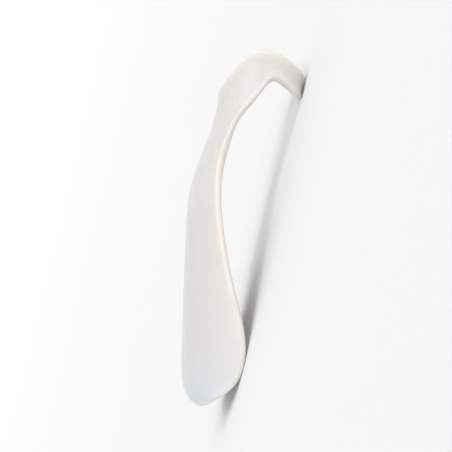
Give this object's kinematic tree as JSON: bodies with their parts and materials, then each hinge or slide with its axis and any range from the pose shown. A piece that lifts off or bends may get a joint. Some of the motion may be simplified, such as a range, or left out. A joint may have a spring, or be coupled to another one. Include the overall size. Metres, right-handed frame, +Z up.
{
  "type": "tailors bunion pad",
  "caption": "Milky gel tailor's bunion pad: a curved cushion for the outer side of the forefoot that widens to a rounded tail, with a strap that goes round the little toe.",
  "frame": {"origin": "on the surface that the pad rests on, under the middle of its bounding box", "axes": "+X runs from the rounded tail to the toe strap, -Y is the side that faces the sole, +Z is up, away from the foot"},
  "size_m": [0.0672, 0.0246, 0.0162],
  "materials": {
    "milky_gel": "milky, satin soft gel that lets some light through"
  },
  "bodies": {
    "root": {"bunion_pad": "milky_gel"}
  },
  "joints": []
}
